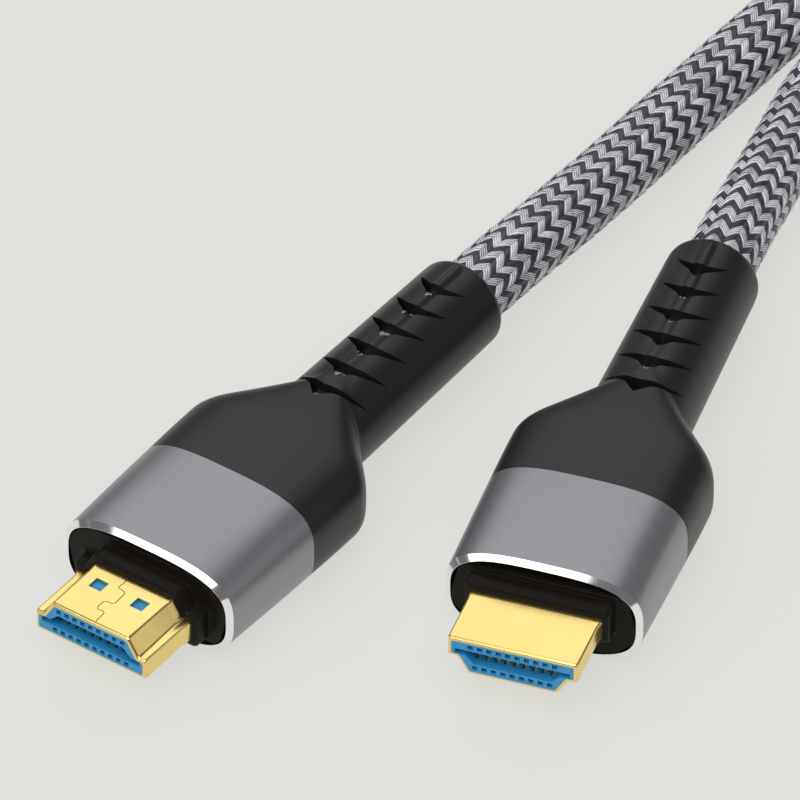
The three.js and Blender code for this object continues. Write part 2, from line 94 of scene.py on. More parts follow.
# Rings of the collar from its foot to its mouth: distance from the shell, corner, y, widening
COLLAR_PROFILE = (
    (COLLAR_WALL + COLLAR_FOOT, COLLAR_CORNER, 0.0, 0.0),
    (COLLAR_WALL + 0.06, COLLAR_CORNER, -0.12, 0.0),
    (COLLAR_WALL, COLLAR_CORNER, -0.35, 0.0),
    (COLLAR_WALL, COLLAR_CORNER, -COLLAR_REACH + 0.35, 0.0),
    (COLLAR_WALL - 0.12, 0.45, -COLLAR_REACH + 0.1, 0.0),
    (COLLAR_WALL - 0.35, 0.4, -COLLAR_REACH, 0.0),
    (0.03, 0.3, -COLLAR_REACH, 0.02),
    (0.03, 0.3, SHELL_SEATED + 0.3, SHELL_FLARE),
)

# Rings of the moulding's rim: y, gap to the sleeve's bore
MOULDING_RIM = ((11.0, 0.02), (0.12, 0.02), (0.0, 0.14))
MOULDING_FACE_SHARES = (0.7, 0.45)

# The sleeve and the boot
BODY_EXPONENT = 3.05
BORE_HALF_WIDTH = 9.96
BORE_HALF_HEIGHT = 4.9
CHAMFER = 0.5
SLEEVE_SIDES = 128
SLEEVE_RINGS = 12
SLEEVE_BORE_START = 0.35
SLEEVE_BORE_GAP = 0.05
SLEEVE_RIM_EDGE = 0.03
SLEEVE_END_WALL = 0.3
FRONT_HALF_WIDTH = 10.58
FRONT_HALF_HEIGHT = 5.52
REAR_HALF_WIDTH = 10.86
REAR_HALF_HEIGHT = 6.0
SLEEVE_LENGTH = 14.0
BOOT_HALF_WIDTH = 10.95
BOOT_HALF_HEIGHT = 6.1
BOOT_BODY_END = 23.3
BOOT_START = SLEEVE_LENGTH + 0.05
BOOT_START_HALF_WIDTH = 10.3
BOOT_START_HALF_HEIGHT = 5.4
BOOT_RING_RUNS = ((BOOT_START, 0.5, 13), (20.8, 0.3, 40), (33.0, 0.45, 48))
BOOT_SWELL_LENGTH = 6.0
SHOULDER_CORNER = 1.6
TONGUE_END = 31.6
TONGUE_HALF_WIDTH = 3.2
TONGUE_DROP = 0.62
TONGUE_DROP_POWER = 1.4
TONGUE_LEAST_HALF_WIDTH = 1.0
BOOT_LENGTH = 55.7
NECK_START = 31.0
NECK_START_RADIUS = 5.45
NECK_END_RADIUS = 5.1
NECK_END_ROUND = 1.1
NECK_END_STEPS = 8
NECK_BLEND = 0.35
CABLE_BORE_START = 30.0
CABLE_BORE_GAP = 0.12
BOOT_SIDES = 144
RIB_SLOT_COUNT = 6
RIB_SLOT_START = 28.7
RIB_SLOT_PITCH = 3.92
RIB_SLOT_WIDTH = 1.25
RIB_SLOT_WINDOW = 0.95
RIB_SLOT_STOPS = (0.0, 0.15, 0.3, 0.45, 0.6, 0.75, 0.9, 1.0)
RIB_SLOT_HALF_SPAN = 4.5
RIB_SLOT_NARROWING = 0.32
RIB_SLOT_SWEEP = 2.6
RIB_SLOT_FLOOR = 1.9
RIB_SLOT_STRAIGHT_SHARE = 0.42
RIB_SLOT_BENT_SHARE = 0.58
RIB_SLOT_BEND = 2.2
RIB_SLOT_THINNING = 0.25

# The cable and its coil, in millimetres
CABLE_DIAMETER = 7.6
CABLE_RADIUS = CABLE_DIAMETER / 2
COIL_CENTRE_Y = 186.64
COIL_OUTER_RADIUS = 56.0
COIL_TURNS_IN_LAYER = 2.8625
COIL_START_ANGLE = 230.0
COIL_LOW = 5.1
COIL_HIGH = 12.7
COIL_CLIMB_TURNS = 0.36
COIL_STEPS_PER_TURN = 48
TIE_THICKNESS = 1.0
TIE_WIDTH = 14.0
TIE_GAP = 0.3
TIE_CORNER = 1.9
TIE_CORNER_STEPS = 6
TIE_ANGLES = {"tie_left": 145.0, "tie_right": 35.0}
LEAD_A_ROUTE = [
    (-14.24, -0.33, 6.1), (-10.34, 26.39, 6.1), (-9.29, 33.64, 5.9), (-8.15, 42.54, 5.2),
    (-7.05, 51.44, 4.6), (-6.1, 60.34, 4.1), (-4.8, 70.64, 3.8), (-3.2, 80.94, 3.8), (-1.5, 90.74, 3.8),
    (-0.9, 99.54, 3.8), (-2.5, 107.94, 3.8), (-6.0, 115.84, 3.8), (-11.3, 122.64, 3.8),
    (-14.2, 125.34, 3.9), (-21.5, 131.44, 4.3), (-28.8, 137.64, 4.8), (-36.0, 143.74, 5.1),
]
LEAD_B_ROUTE = [
    (14.24, 15.27, 6.1), (10.34, 41.99, 6.1), (9.3, 49.24, 5.8), (8.1, 57.44, 4.9), (7.0, 65.14, 4.1),
    (6.3, 69.84, 3.8), (5.9, 75.64, 3.8), (6.5, 82.54, 3.8), (8.3, 89.24, 3.8), (11.4, 95.94, 3.8),
    (16.0, 103.64, 3.8), (20.6, 111.44, 3.9), (25.1, 119.14, 4.7), (29.7, 126.94, 6.6),
    (34.3, 134.64, 9.0), (38.9, 142.44, 11.3), (43.5, 150.14, 12.4), (48.0, 157.84, 12.7),
]

# The braid: columns of short floats, slanted left and right by turns
JACKET_SIDES = 20
JACKET_RING_SPACING = 1.6
BRAID_COLUMNS = 20
BRAID_PERIOD = 2.43
BRAID_RISE = 1.45
BRAID_TUCK = 1.16
BRAID_FLOOR = 3.56
BRAID_LIFT = 0.31
BRAID_FILAMENTS = 4
LIGHT_HALF_WIDTH = 0.7
DARK_HALF_WIDTH = 0.56
BRAID_SEED = 11
RIDGE_HEIGHT = 0.045
RIDGE_PHASE = 1.7079632679489656
FLOAT_JITTER = 0.035
FLOAT_WIDTH_SPREAD = (0.93, 1.07)
FLOAT_LIFT_SPREAD = (0.85, 1.1)
DARK_LIFT_LOSS = 0.09
ARCH_POWER = 2.2
ARCH_DEPTH = 1.15
EDGE_POWER = 4
EDGE_DEPTH = 0.75
JACKET_RADIUS = BRAID_FLOOR + 0.02
FINE_BRAID_LENGTHS = (170.0, 175.0)
FINE_STEPS = (8, 3)
COARSE_STEPS = (2, 2)
# Yarn shade: filament crests painted lighter (painted highlight) and the grooves between them painted
# darker (painted shade), mixed with random fray and tone; the same mix also drives the bump
YARN_CREST_SHADE_AND_RELIEF = 0.5
YARN_FRAY = 0.5
YARN_TONE = 0.22
YARN_DARK_AT = 0.25
YARN_LIGHT_AT = 0.85

# Lamps: turn from the camera's azimuth and elevation in degrees, width, height and power
LAMP_DISTANCE = 1.2
LAMP_TARGET = (0, 0.02, 0)
LAMPS = (
    ("back_softbox", 180, 48, 1.3, 0.9, 3.9),
    ("front_softbox", 0, 56, 0.9, 0.6, 5.5),
    ("rim_softbox", -50, 33, 0.9, 0.6, 3.0),
    ("top_softbox", -60, 80, 0.8, 0.8, 2.0),
    ("left_softbox", -100, 30, 0.5, 0.7, 0.9),
    ("right_strip", 75, 25, 0.5, 0.8, 0.75),
)


# Materials
class Nodes:
    """A small helper that adds and links shader nodes by name."""

    def __init__(self, name, base, roughness, metallic=0.0):
        self.material = bpy.data.materials.new(name)
        self.material.use_nodes = True
        self.tree = self.material.node_tree
        self.shader = self.tree.nodes["Principled BSDF"]
        self.shader.inputs["Base Color"].default_value = (*base, 1.0)
        self.shader.inputs["Roughness"].default_value = roughness
        self.shader.inputs["Metallic"].default_value = metallic

    def add(self, kind, **values):
        node = self.tree.nodes.new(kind)
        for key, value in values.items():
            if hasattr(node, key):
                setattr(node, key, value)
            else:
                node.inputs[key.replace("_", " ")].default_value = value
        return node

    def link(self, source, output, target, entry):
        self.tree.links.new(source.outputs[output], target.inputs[entry])

    def noise(self, scale, detail=3.0):
        place = self.add("ShaderNodeTexCoord")
        noise = self.add("ShaderNodeTexNoise", Scale=scale, Detail=detail)
        self.link(place, "Object", noise, "Vector")
        return noise

    def vary_roughness(self, noise, low, high):
        spread = self.add("ShaderNodeMapRange", To_Min=low, To_Max=high)
        self.link(noise, "Fac", spread, "Value")
        self.link(spread, "Result", self.shader, "Roughness")

    def vary_colour(self, noise, dark, light):
        ramp = self.add("ShaderNodeValToRGB")
        ramp.color_ramp.elements[0].position = 0.3
        ramp.color_ramp.elements[0].color = (*dark, 1.0)
        ramp.color_ramp.elements[1].position = 0.7
        ramp.color_ramp.elements[1].color = (*light, 1.0)
        self.link(noise, "Fac", ramp, "Fac")
        self.link(ramp, "Color", self.shader, "Base Color")

    def bump(self, noise, strength, distance):
        bump = self.add("ShaderNodeBump", Strength=strength, Distance=distance)
        self.link(noise, "Fac", bump, "Height")
        self.link(bump, "Normal", self.shader, "Normal")


def gold_material():
    nodes = Nodes("gold plating", (0.94, 0.71, 0.26), 0.2, 1.0)
    wear = nodes.noise(900.0, 4.0)
    nodes.vary_roughness(wear, 0.16, 0.27)
    nodes.vary_colour(nodes.noise(160.0), (0.92, 0.68, 0.23), (0.95, 0.73, 0.28))
    nodes.bump(wear, 0.05, 0.00002)
    return nodes.material


def seam_material():
    nodes = Nodes("seam shadow", (0.35, 0.24, 0.07), 0.5, 1.0)
    nodes.vary_roughness(nodes.noise(900.0), 0.45, 0.6)
    return nodes.material


def contact_material():
    nodes = Nodes("contact plating", (1.0, 0.86, 0.58), 0.25, 1.0)
    nodes.vary_roughness(nodes.noise(2500.0), 0.2, 0.34)
    return nodes.material


def blue_material():
    nodes = Nodes("blue plastic", (0.025, 0.29, 0.58), 0.42)
    nodes.vary_colour(nodes.noise(700.0), (0.022, 0.27, 0.54), (0.028, 0.31, 0.62))
    nodes.bump(nodes.noise(4000.0), 0.15, 0.00003)
    return nodes.material


def black_plastic_material():
    nodes = Nodes("black plastic", (0.010, 0.008, 0.006), 0.3)
    nodes.shader.inputs["Specular IOR Level"].default_value = 0.1
    nodes.vary_roughness(nodes.noise(500.0), 0.26, 0.36)
    return nodes.material


def aluminium_material():
    nodes = Nodes("satin aluminium", (0.28, 0.28, 0.30), 0.34, 0.75)
    grain = nodes.noise(5000.0, 2.0)
    nodes.vary_roughness(grain, 0.32, 0.42)
    nodes.vary_colour(nodes.noise(120.0), (0.30, 0.296, 0.32), (0.32, 0.315, 0.34))
    nodes.bump(grain, 0.12, 0.00002)
    return nodes.material


def chamfer_material():
    nodes = Nodes("polished chamfer", (0.93, 0.93, 0.95), 0.1, 1.0)
    nodes.vary_roughness(nodes.noise(1500.0), 0.07, 0.15)
    return nodes.material


def rubber_material():
    nodes = Nodes("black rubber", (0.012, 0.012, 0.012), 0.38)
    nodes.shader.inputs["Specular IOR Level"].default_value = 0.4
    grain = nodes.noise(3500.0, 3.0)
    nodes.vary_roughness(grain, 0.33, 0.43)
    nodes.vary_colour(nodes.noise(90.0), (0.011, 0.011, 0.011), (0.014, 0.014, 0.014))
    nodes.bump(grain, 0.12, 0.00003)
    return nodes.material


def yarn_material(name, low, high, roughness):
    """Filaments side by side along each float, drawn across the float's own u, with a painted highlight
    on each filament's crest and painted shade in the grooves between them.
    """
    nodes = Nodes(name, high, roughness)
    place = nodes.add("ShaderNodeTexCoord")
    split = nodes.add("ShaderNodeSeparateXYZ")
    nodes.link(place, "UV", split, "Vector")
    tone = nodes.add("ShaderNodeAttribute", attribute_name="tone")
    wave = nodes.add("ShaderNodeMath", operation="MULTIPLY")
    wave.inputs[1].default_value = 2 * math.pi * BRAID_FILAMENTS
    nodes.link(split, "X", wave, 0)
    cosine = nodes.add("ShaderNodeMath", operation="COSINE")
    nodes.link(wave, "Value", cosine, 0)
    # Crest mask: a painted highlight where each filament is highest and painted shade in the grooves
    # between filaments, also used as bump height
    ridge = nodes.add("ShaderNodeMapRange", From_Min=-1.0, From_Max=1.0, To_Min=1.0, To_Max=0.0)
    nodes.link(cosine, "Value", ridge, "Value")
    fray = nodes.noise(1400.0, 4.0)
    mix = nodes.add("ShaderNodeMath", operation="MULTIPLY_ADD")
    mix.inputs[1].default_value = YARN_CREST_SHADE_AND_RELIEF
    nodes.link(ridge, "Result", mix, 0)
    soften = nodes.add("ShaderNodeMath", operation="MULTIPLY")
    soften.inputs[1].default_value = YARN_FRAY
    nodes.link(fray, "Fac", soften, 0)
    nodes.link(soften, "Value", mix, 2)
    shade = nodes.add("ShaderNodeMath", operation="MULTIPLY_ADD")
    shade.inputs[1].default_value = YARN_TONE
    nodes.link(tone, "Fac", shade, 0)
    nodes.link(mix, "Value", shade, 2)
    ramp = nodes.add("ShaderNodeValToRGB")
    ramp.color_ramp.elements[0].position = YARN_DARK_AT
    ramp.color_ramp.elements[0].color = (*low, 1.0)
    ramp.color_ramp.elements[1].position = YARN_LIGHT_AT
    ramp.color_ramp.elements[1].color = (*high, 1.0)
    nodes.link(shade, "Value", ramp, "Fac")
    nodes.link(ramp, "Color", nodes.shader, "Base Color")
    bump = nodes.add("ShaderNodeBump", Strength=0.5, Distance=0.00006)
    nodes.link(mix, "Value", bump, "Height")
    nodes.link(bump, "Normal", nodes.shader, "Normal")
    return nodes.material


def jacket_material():
    nodes = Nodes("dark jacket", (0.008, 0.008, 0.011), 0.7)
    nodes.bump(nodes.noise(1500.0), 0.3, 0.0001)
    return nodes.material


def tape_material():
    nodes = Nodes("hook tape", (0.02, 0.02, 0.022), 0.9)
    pile = nodes.noise(2600.0, 5.0)
    nodes.vary_colour(pile, (0.008, 0.008, 0.009), (0.035, 0.035, 0.038))
    nodes.bump(pile, 0.8, 0.0003)
    return nodes.material


GOLD = gold_material()
SEAM = seam_material()
CONTACT = contact_material()
BLUE = blue_material()
BLACK_PLASTIC = black_plastic_material()
ALUMINIUM = aluminium_material()
POLISHED = chamfer_material()
RUBBER = rubber_material()
# Both yarns: the lighter colour at filament crests is a painted highlight and the darker colour in the
# grooves is painted shade
LIGHT_YARN = yarn_material("light yarn", (0.05, 0.05, 0.065), (0.92, 0.92, 1.0), 0.4)
DARK_YARN = yarn_material("dark yarn", (0.003, 0.003, 0.004), (0.07, 0.07, 0.085), 0.35)
JACKET = jacket_material()
TAPE = tape_material()


# Mesh helpers
def make_object(name, vertices, faces, materials, matrix=Matrix.Identity(4), sharp=35.0):
    mesh = bpy.data.meshes.new(name)
    mesh.from_pydata([tuple(v) for v in vertices], [], faces)
    mesh.validate()
    solid = bmesh.new()
    solid.from_mesh(mesh)
    bmesh.ops.remove_doubles(solid, verts=solid.verts, dist=1e-7)
    bmesh.ops.recalc_face_normals(solid, faces=solid.faces)
    solid.to_mesh(mesh)
    solid.free()
    for material in materials:
        mesh.materials.append(material)
    piece = bpy.data.objects.new(name, mesh)
    bpy.context.scene.collection.objects.link(piece)
    piece.matrix_world = matrix
    smooth(piece, sharp)
    return piece


def smooth(piece, sharp):
    piece.data.shade_smooth()
    piece.data.set_sharp_from_angle(angle=math.radians(sharp))


def apply_modifiers(piece):
    graph = bpy.context.evaluated_depsgraph_get()
    mesh = bpy.data.meshes.new_from_object(piece.evaluated_get(graph))
    piece.modifiers.clear()
    old = piece.data
    piece.data = mesh
    bpy.data.meshes.remove(old)


def cut(piece, cutter, sharp):
    modifier = piece.modifiers.new("cut", "BOOLEAN")
    modifier.operation = "DIFFERENCE"
    modifier.solver = "EXACT"
    modifier.use_self = False
    modifier.object = cutter
    apply_modifiers(piece)
    bpy.data.objects.remove(cutter)
    smooth(piece, sharp)


def loft(rings, joined_ends=False):
    """Vertices in metres and faces of a skin over rings in millimetres, capped or joined in a loop."""
    count = len(rings[0])
    vertices = [tuple(c * MM for c in point) for ring in rings for point in ring]
    faces = []
    for ring in range(len(rings) - 1):
        for side in range(count):
            after = (side + 1) % count
            low = ring * count
            high = low + count
            faces.append((low + side, low + after, high + after, high + side))
    last = (len(rings) - 1) * count
    if joined_ends:
        for side in range(count):
            after = (side + 1) % count
            faces.append((last + side, last + after, after, side))
    else:
        faces.append(tuple(range(count)))
        faces.append(tuple(range(last, last + count))[::-1])
    return vertices, faces


def body_ring(y, half_width, half_height):
    ring = []
    for side in range(SLEEVE_SIDES):
        angle = 2 * math.pi * side / SLEEVE_SIDES
        across = math.copysign(abs(math.cos(angle)) ** (2 / BODY_EXPONENT), math.cos(angle))
        up = math.copysign(abs(math.sin(angle)) ** (2 / BODY_EXPONENT), math.sin(angle))
        ring.append((half_width * across, y, half_height * up))
    return ring


def offset_outline(points, distance):
    moved = []
    for index, point in enumerate(points):
        before = points[index - 1]
        after = points[(index + 1) % len(points)]
        arriving = Vector(point) - Vector(before)
        leaving = Vector(after) - Vector(point)
        arriving_normal = Vector((arriving.y, -arriving.x)).normalized()
        leaving_normal = Vector((leaving.y, -leaving.x)).normalized()
        miter = (arriving_normal + leaving_normal).normalized()
        moved.append(Vector(point) + miter * (distance / miter.dot(leaving_normal)))
    return moved


def round_outline(points, radius, steps=4):
    rounded = []
    for index, point in enumerate(points):
        point = Vector(point)
        before = Vector(points[index - 1])
        after = Vector(points[(index + 1) % len(points)])
        start = point + (before - point).normalized() * radius
        end = point + (after - point).normalized() * radius
        for step in range(steps + 1):
            t = step / steps
            rounded.append(start * (1 - t) ** 2 + point * 2 * t * (1 - t) + end * t ** 2)
    return rounded


def shell_outline(offset, radius=SHELL_CORNER):
    half = SHELL_WIDTH / 2
    narrow = SHELL_NARROW_WIDTH / 2
    bottom = -SHELL_HEIGHT / 2
    ledge = bottom + SHELL_SIDE_HEIGHT
    corners = [
        (-half, bottom), (half, bottom), (half, ledge), (half - SHELL_LEDGE, ledge),
        (narrow, -bottom), (-narrow, -bottom), (SHELL_LEDGE - half, ledge), (-half, ledge),
    ]
    return round_outline(offset_outline(corners, offset), radius)


def outline_ring(outline, y, widen=0.0):
    return [(point.x * (1 + widen), y, point.y) for point in outline]


def round_point(angle, y, radius):
    return (radius * math.cos(angle), y, radius * math.sin(angle))


def superellipse_point(angle, y, half_width, half_height):
    across = abs(math.cos(angle)) / half_width
    up = abs(math.sin(angle)) / half_height
    radius = (across ** BODY_EXPONENT + up ** BODY_EXPONENT) ** (-1 / BODY_EXPONENT)
    return round_point(angle, y, radius)


def between(far, near, share):
    return tuple(share * a + (1 - share) * b for a, b in zip(far, near))


def box_part(low, high):
    xs, ys, zs = zip(low, high)
    vertices = [(x * MM, y * MM, z * MM) for x in xs for y in ys for z in zs]
    faces = [(0, 1, 3, 2), (4, 6, 7, 5), (0, 4, 5, 1), (2, 3, 7, 6), (0, 2, 6, 4), (1, 5, 7, 3)]
    return vertices, faces


def joined(parts):
    vertices = []
    faces = []
    for part_vertices, part_faces in parts:
        start = len(vertices)
        vertices.extend(part_vertices)
        faces.extend(tuple(index + start for index in face) for face in part_faces)
    return vertices, faces


# Pieces of a plug
def make_shell(name, matrix):
    """Folded sheet: an inward curl at its front, a small flare at the collar, latch holes and a seam."""
    rings = [outline_ring(shell_outline(-SHELL_LIP, SHELL_INNER_CORNER), SHELL_FRONT)]
    for back, offset in SHELL_CURL:
        rings.append(outline_ring(shell_outline(offset), SHELL_FRONT + back))
    outside = shell_outline(0.0)
    for y, widen in SHELL_FLARE_STOPS:
        rings.append(outline_ring(outside, y, widen))
    inside = shell_outline(-SHELL_SHEET, SHELL_INNER_CORNER)
    rings.append(outline_ring(inside, SHELL_SEATED))
    rings.append(outline_ring(inside, SHELL_FRONT + SHELL_CURL_DEPTH))
    vertices, faces = loft(rings, joined_ends=True)
    shell = make_object(name, vertices, faces, [GOLD, SEAM], matrix, 30.0)
    parts = []
    latch_y = SHELL_FRONT + LATCH_FROM_FRONT
    for side in (-1, 1):
        latch_x = side * LATCH_SPACING / 2
        low = (latch_x - LATCH_WIDTH / 2, latch_y - LATCH_LENGTH / 2, LATCH_CUT_LOW)
        high = (latch_x + LATCH_WIDTH / 2, latch_y + LATCH_LENGTH / 2, LATCH_CUT_HIGH)
        parts.append(box_part(low, high))
    parts.append(seam_part())
    cutter_vertices, cutter_faces = joined(parts)
    cutter = make_object("cutter", cutter_vertices, cutter_faces, [GOLD, SEAM], matrix)
    for face in cutter.data.polygons:
        face.material_index = int(abs(face.center.x) < SEAM_REACH * MM)
    cut(shell, cutter, 30.0)
    return shell


def seam_part():
    """The thin joint in the folded sheet: a keyed line along the middle of the narrow side."""
    line = [
        (0.5, 0.3), (0.45, 1.8), (0.1, 1.98), (-0.45, 1.9), (-0.68, 2.3), (-0.65, 3.2), (-0.2, 3.45),
        (0.2, 3.4), (0.45, 3.7), (0.37, 5.5), (0.1, 5.6), (-0.75, 5.8), (-0.67, 6.7), (-0.67, 8.0),
    ]
    top = SHELL_HEIGHT / 2
    vertices = []
    faces = []
    points = [Vector((x, SHELL_FRONT + y)) for x, y in line]
    for index, point in enumerate(points):
        before = points[max(index - 1, 0)]
        after = points[min(index + 1, len(points) - 1)]
        along = (after - before).normalized()
        side = Vector((along.y, -along.x)) * SEAM_HALF_WIDTH
        for corner in (point + side, point - side):
            vertices.append((corner.x * MM, corner.y * MM, (top - SEAM_DEPTH) * MM))
            vertices.append((corner.x * MM, corner.y * MM, (top + SEAM_CUT_ABOVE) * MM))
    for index in range(len(points) - 1):
        a = index * 4
        b = a + 4
        faces.extend([(a, b, b + 1, a + 1), (a + 2, a + 3, b + 3, b + 2), (a, a + 2, b + 2, b)])
        faces.append((a + 1, b + 1, b + 3, a + 3))
    last = (len(points) - 1) * 4
    faces.extend([(0, 1, 3, 2), (last, last + 2, last + 3, last + 1)])
    return vertices, faces


def make_moulding(name, matrix):
    """The black face inside the sleeve's rim, with the collar that stands round the shell."""
    outline = shell_outline(COLLAR_WALL, COLLAR_CORNER)
    angles = [math.atan2(point.y, point.x) for point in outline]
    body = []
    for y, gap in MOULDING_RIM:
        half_width = BORE_HALF_WIDTH - gap
        half_height = BORE_HALF_HEIGHT - gap
        body.append([superellipse_point(angle, y, half_width, half_height) for angle in angles])
    collar = []
    for distance, corner, y, widen in COLLAR_PROFILE:
        collar.append(outline_ring(shell_outline(distance, corner), y, widen))
    rim = body[-1]
    for share in MOULDING_FACE_SHARES:
        body.append([between(far, near, share) for far, near in zip(rim, collar[0])])
    body.extend(collar)
    vertices, faces = loft(body)
    return make_object(name, vertices, faces, [BLACK_PLASTIC], matrix, 40.0)


def make_sleeve(name, matrix):
    """A crowned tube of aluminium with a bright chamfer at its rim."""
    rings = [body_ring(SLEEVE_BORE_START, BORE_HALF_WIDTH, BORE_HALF_HEIGHT)]
    rings.append(body_ring(0.0, BORE_HALF_WIDTH, BORE_HALF_HEIGHT))
    edge = SLEEVE_RIM_EDGE
    rings.append(body_ring(0.0, BORE_HALF_WIDTH + edge, BORE_HALF_HEIGHT + edge))
    rings.append(body_ring(CHAMFER, FRONT_HALF_WIDTH, FRONT_HALF_HEIGHT))
    for step in range(1, SLEEVE_RINGS + 1):
        share = step / SLEEVE_RINGS
        y = CHAMFER + (SLEEVE_LENGTH - CHAMFER) * share
        crown = math.sin(share * math.pi / 2)
        half_width = FRONT_HALF_WIDTH + (REAR_HALF_WIDTH - FRONT_HALF_WIDTH) * share
        half_height = FRONT_HALF_HEIGHT + (REAR_HALF_HEIGHT - FRONT_HALF_HEIGHT) * crown
        rings.append(body_ring(y, half_width, half_height))
    wall = SLEEVE_END_WALL
    rings.append(body_ring(SLEEVE_LENGTH, REAR_HALF_WIDTH - wall, REAR_HALF_HEIGHT - wall))
    gap = SLEEVE_BORE_GAP
    rings.append(body_ring(SLEEVE_BORE_START, BORE_HALF_WIDTH + gap, BORE_HALF_HEIGHT + gap))
    vertices, faces = loft(rings, joined_ends=True)
    sleeve = make_object(name, vertices, faces, [ALUMINIUM, POLISHED], matrix, 25.0)
    for face in sleeve.data.polygons:
        if face.center.y < CHAMFER * MM:
            face.material_index = 1
    return sleeve


def neck_radius(y):
    along = min(max((y - NECK_START) / (BOOT_LENGTH - NECK_START), 0.0), 1.0)
    return NECK_START_RADIUS + (NECK_END_RADIUS - NECK_START_RADIUS) * along


def boot_radius(angle, y):
    """How far the boot's skin is from its axis: the shoulder's body or the round neck."""
    taper = min(max((y - BOOT_BODY_END) / (TONGUE_END - BOOT_BODY_END), 0.0), 1.0)
    swell = math.sin(min(y - SLEEVE_LENGTH, BOOT_SWELL_LENGTH) / BOOT_SWELL_LENGTH * math.pi / 2)
    half_height = REAR_HALF_HEIGHT + (BOOT_HALF_HEIGHT - REAR_HALF_HEIGHT) * swell
    half_width = REAR_HALF_WIDTH + (BOOT_HALF_WIDTH - REAR_HALF_WIDTH) * swell
    if y > BOOT_BODY_END - SHOULDER_CORNER:
        along = (y - BOOT_BODY_END + SHOULDER_CORNER) / (2 * SHOULDER_CORNER)
        slope = (half_width - TONGUE_HALF_WIDTH) / (TONGUE_END - BOOT_BODY_END)
        if along < 1:
            half_width -= slope * SHOULDER_CORNER * along ** 2
        else:
            half_width -= slope * (y - BOOT_BODY_END)
    half_height -= TONGUE_DROP * taper ** TONGUE_DROP_POWER
    half_width = max(half_width, TONGUE_LEAST_HALF_WIDTH)
    body = superellipse_point(angle, y, half_width, half_height)
    body_radius = math.hypot(body[0], body[2])
    neck = neck_radius(y)
    gap = body_radius - neck
    if gap > NECK_BLEND:
        return body_radius
    if gap < -NECK_BLEND:
        return neck
    return neck + (gap + NECK_BLEND) ** 2 / (4 * NECK_BLEND)


def rib_slot_part(index, side):
    """A slot like a gull seen from afar, with a pointed window in its middle."""
    start = RIB_SLOT_START + index * RIB_SLOT_PITCH
    half = RIB_SLOT_HALF_SPAN - index * RIB_SLOT_NARROWING
    near = []
    far = []
    for t in RIB_SLOT_STOPS:
        bend = t ** RIB_SLOT_BEND
        swept = RIB_SLOT_SWEEP * (RIB_SLOT_STRAIGHT_SHARE * t + RIB_SLOT_BENT_SHARE * bend)
        wing = start + RIB_SLOT_WINDOW + swept
        window = RIB_SLOT_WINDOW * max(0.0, 1 - t / RIB_SLOT_STOPS[2])
        near.append((half * t, wing - window))
        far.append((half * t, wing + RIB_SLOT_WIDTH * (1 - bend) * (1 - RIB_SLOT_THINNING * t)))
    right = near + far[-2::-1]
    outline = right + [(-x, y) for x, y in far[1:-1]] + [(-x, y) for x, y in near[:0:-1]]
    low = RIB_SLOT_FLOOR * side
    high = (BOOT_HALF_HEIGHT + 1.0) * side
    vertices = [(x * MM, y * MM, z * MM) for z in (low, high) for x, y in outline]
    count = len(outline)
    faces = [tuple(range(count)), tuple(range(2 * count - 1, count - 1, -1))]
    for corner in range(count):
        after = (corner + 1) % count
        faces.append((corner, after, after + count, corner + count))
    return vertices, faces


def make_boot(name, matrix):
    """Body, shoulder and round neck in one skin, with slots cut from above and below."""
    angles = [2 * math.pi * side / BOOT_SIDES for side in range(BOOT_SIDES)]
    half_width, half_height = BOOT_START_HALF_WIDTH, BOOT_START_HALF_HEIGHT
    rings = [[superellipse_point(angle, BOOT_START, half_width, half_height) for angle in angles]]
    for y in [first + gap * step for first, gap, count in BOOT_RING_RUNS for step in range(count)]:
        rings.append([round_point(angle, y, boot_radius(angle, y)) for angle in angles])
    for step in range(NECK_END_STEPS + 1):
        turn = step / NECK_END_STEPS * math.pi / 2
        radius = NECK_END_RADIUS - NECK_END_ROUND * (1 - math.cos(turn))
        y = BOOT_LENGTH - NECK_END_ROUND * (1 - math.sin(turn))
        rings.append([round_point(angle, y, radius) for angle in angles])
    for y in (BOOT_LENGTH, CABLE_BORE_START):
        rings.append([round_point(angle, y, CABLE_RADIUS + CABLE_BORE_GAP) for angle in angles])
    vertices, faces = loft(rings)
    boot = make_object(name, vertices, faces, [RUBBER], matrix, 38.0)
    slots = [rib_slot_part(index, side) for index in range(RIB_SLOT_COUNT) for side in (-1, 1)]
    slot_vertices, slot_faces = joined(slots)
    cutter = make_object("cutter", slot_vertices, slot_faces, [], matrix)
    cut(boot, cutter, 38.0)
    return boot


def plug_matrix(letter):
    """Where a plug lies, from its mount: the shell's narrow side is up on plug a, down on plug b."""
    mount = next(m for m in frame["record"]["mounts"] if m["name"] == f"plug_{letter}_face")
    along = -Vector(mount["axis"])
    along.z = 0.0
    along.normalize()
    flip = 1 if letter == "a" else -1
    across = Vector((along.y, -along.x, 0.0)) * flip
    up = Vector((0.0, 0.0, flip))
    turn = Matrix((across, along, up)).transposed()
    local = Vector((MOUNT_ACROSS, SHELL_FRONT, MOUNT_UP)) * MM
    return Matrix.Translation(Vector(mount["pos_m"]) - turn @ local) @ turn.to_4x4()


